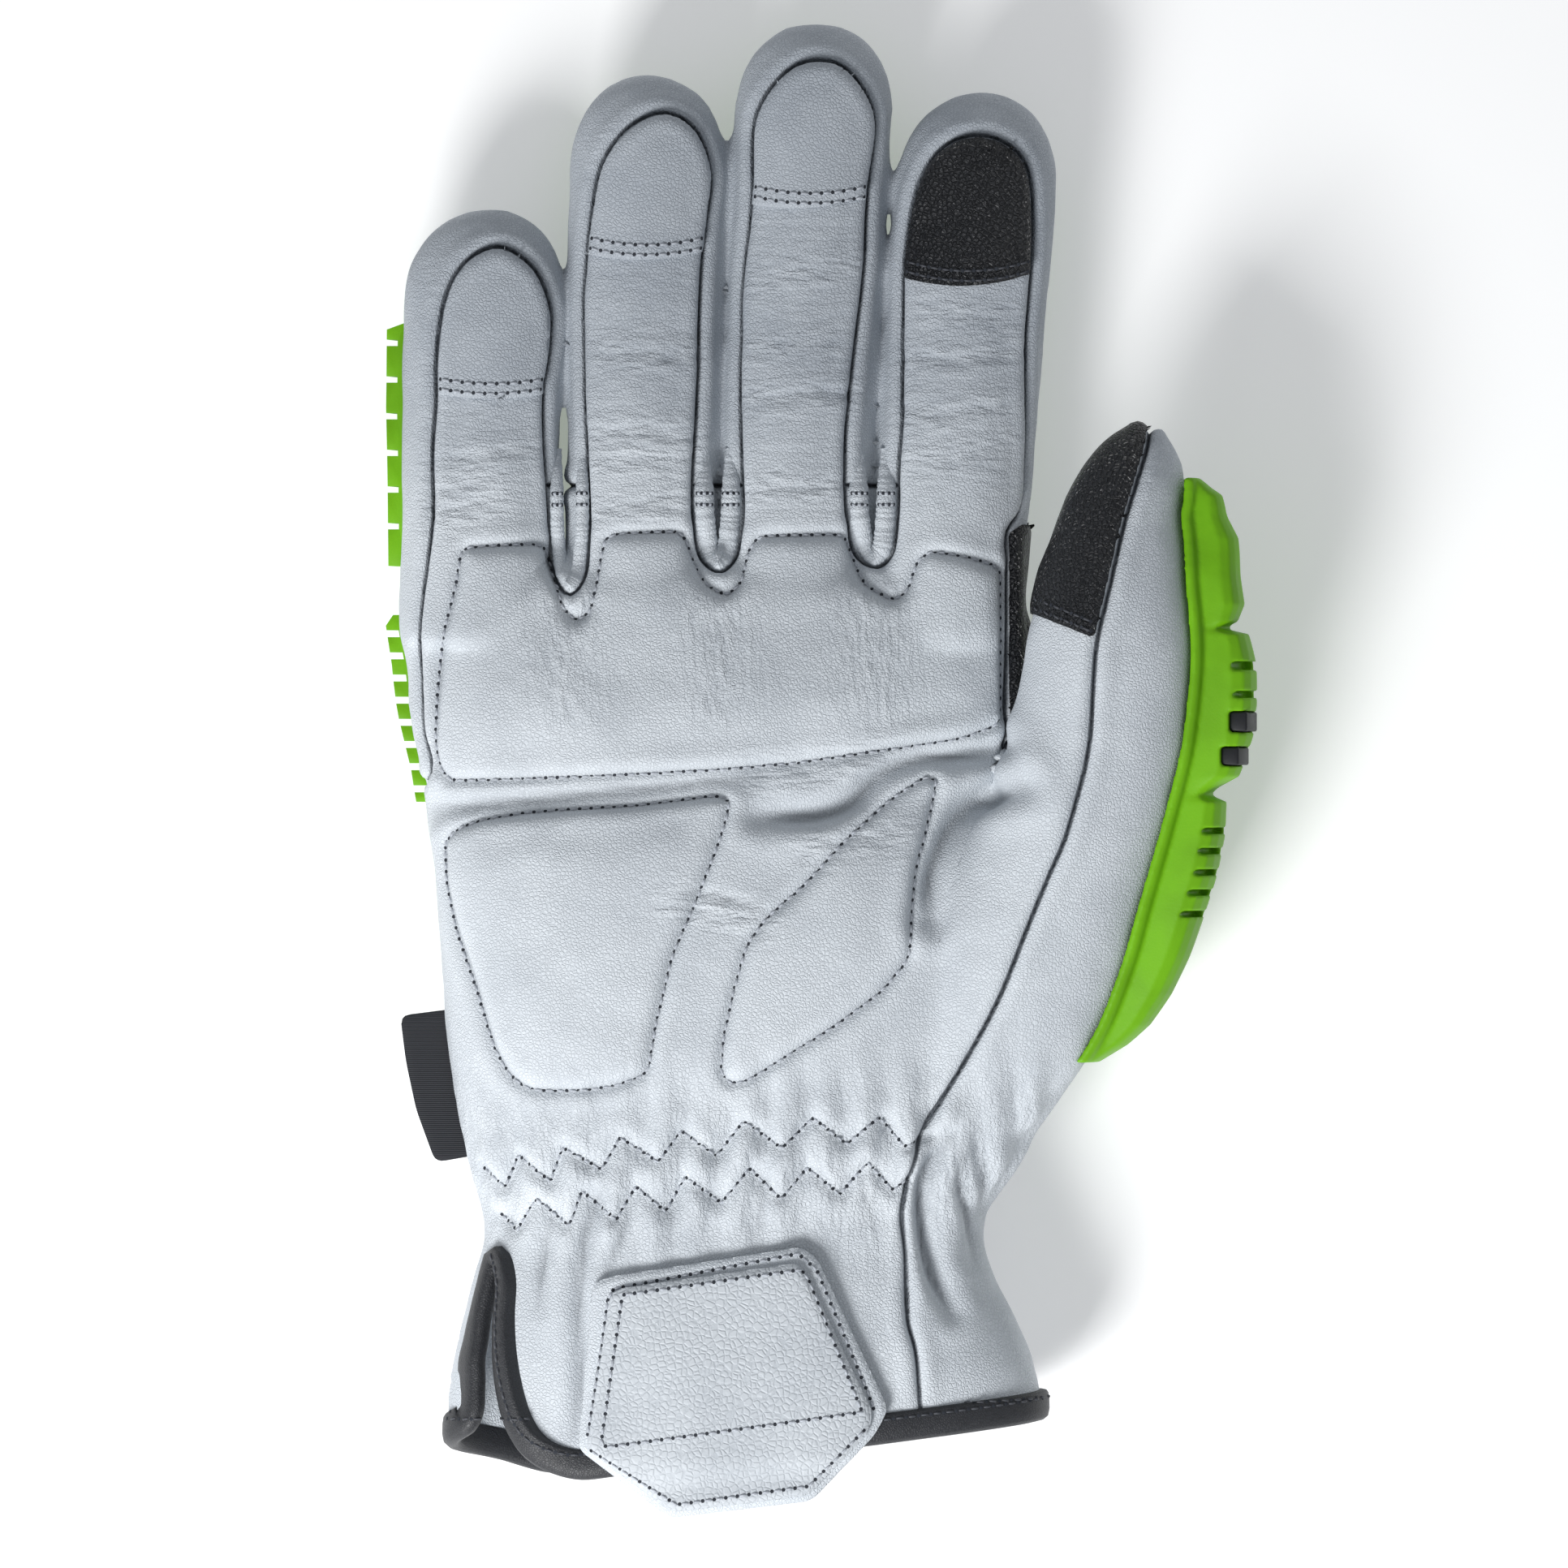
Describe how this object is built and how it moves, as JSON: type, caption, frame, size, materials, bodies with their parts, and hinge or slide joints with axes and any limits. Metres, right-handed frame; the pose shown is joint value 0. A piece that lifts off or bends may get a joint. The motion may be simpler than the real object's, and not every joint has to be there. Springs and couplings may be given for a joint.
{
  "type": "impact glove",
  "caption": "Right-hand leather impact glove with quilted palm pads, soft guards on the back of hand, fingers and thumb, a gathered wrist, a slit bound cuff and a pull tab.",
  "frame": {"origin": "on the flat underside of the back guard, under the middle of the hand, on the surface that the glove rests on", "axes": "+Y from the cuff to the fingertips, +X towards the thumb, +Z out of the palm"},
  "size_m": [0.1526, 0.2603, 0.0452],
  "materials": {
    "leather": "pale blue-grey grain leather, semi-matte",
    "tab_leather": "pale grey leather with a coarse pebble grain",
    "touch_leather": "black leather with a coarse grain, slightly glossy",
    "binding": "smooth black bound edge",
    "woven_label": "black woven ribbon, matte",
    "guard": "fluorescent yellow-green soft thermoplastic rubber, satin",
    "guard_inlay": "black soft thermoplastic rubber, satin"
  },
  "bodies": {
    "root": {"palm_panel": "leather", "thumb_panel": "leather", "back_panel": "leather", "gusset_little_ring": "leather", "gusset_ring_middle": "leather", "gusset_middle_index": "leather", "tip_patch_little": "leather", "tip_patch_ring": "leather", "tip_patch_middle": "leather", "tip_patch_index": "touch_leather", "tip_patch_thumb": "touch_leather", "crotch_patch": "touch_leather", "cuff_binding": "binding", "tab_base": "leather", "tab_patch": "tab_leather", "side_label": "woven_label", "thumb_guard": "guard", "thumb_guard_inlay_1": "guard_inlay", "thumb_guard_inlay_2": "guard_inlay", "finger_guard_little": "guard", "finger_guard_ring": "guard", "finger_guard_middle": "guard", "finger_guard_index": "guard", "back_guard": "guard"}
  },
  "joints": []
}
